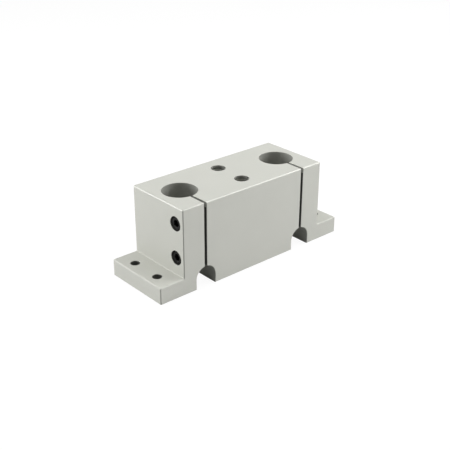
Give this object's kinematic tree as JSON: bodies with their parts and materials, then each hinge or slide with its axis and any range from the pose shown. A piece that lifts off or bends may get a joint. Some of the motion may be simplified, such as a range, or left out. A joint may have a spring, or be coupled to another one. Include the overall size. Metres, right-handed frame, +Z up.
{
  "type": "double shaft support block",
  "caption": "Flanged aluminium block that clamps parallel upright shafts in split bores, with socket-head clamp screws.",
  "frame": {"origin": "centre of the underside, midway between the two shaft axes", "axes": "+X along the block from one shaft to the other, +Y from the slotted front face to the back face, +Z up along the shafts"},
  "size_m": [0.127, 0.0412, 0.0476],
  "materials": {
    "anodised_aluminium": "clear anodised, satin",
    "black_oxide_steel": "black oxide, lightly oiled"
  },
  "bodies": {
    "block": {"block": "anodised_aluminium"},
    "clamp_screw_left_upper": {"clamp_screw_left_upper": "black_oxide_steel"},
    "clamp_screw_left_lower": {"clamp_screw_left_lower": "black_oxide_steel"},
    "clamp_screw_right_upper": {"clamp_screw_right_upper": "black_oxide_steel"},
    "clamp_screw_right_lower": {"clamp_screw_right_lower": "black_oxide_steel"}
  },
  "joints": [
    {"name": "loosen_left_upper", "type": "hinge", "parent": "block", "child": "clamp_screw_left_upper", "pos_m": [-0.04842, -0.01429, 0.0381], "axis": [-1, 0, 0], "range_deg": [0, 270]},
    {"name": "loosen_left_lower", "type": "hinge", "parent": "block", "child": "clamp_screw_left_lower", "pos_m": [-0.04842, -0.01429, 0.01905], "axis": [-1, 0, 0], "range_deg": [0, 270]},
    {"name": "loosen_right_upper", "type": "hinge", "parent": "block", "child": "clamp_screw_right_upper", "pos_m": [0.04842, -0.01429, 0.0381], "axis": [1, 0, 0], "range_deg": [0, 270]},
    {"name": "loosen_right_lower", "type": "hinge", "parent": "block", "child": "clamp_screw_right_lower", "pos_m": [0.04842, -0.01429, 0.01905], "axis": [1, 0, 0], "range_deg": [0, 270]}
  ]
}
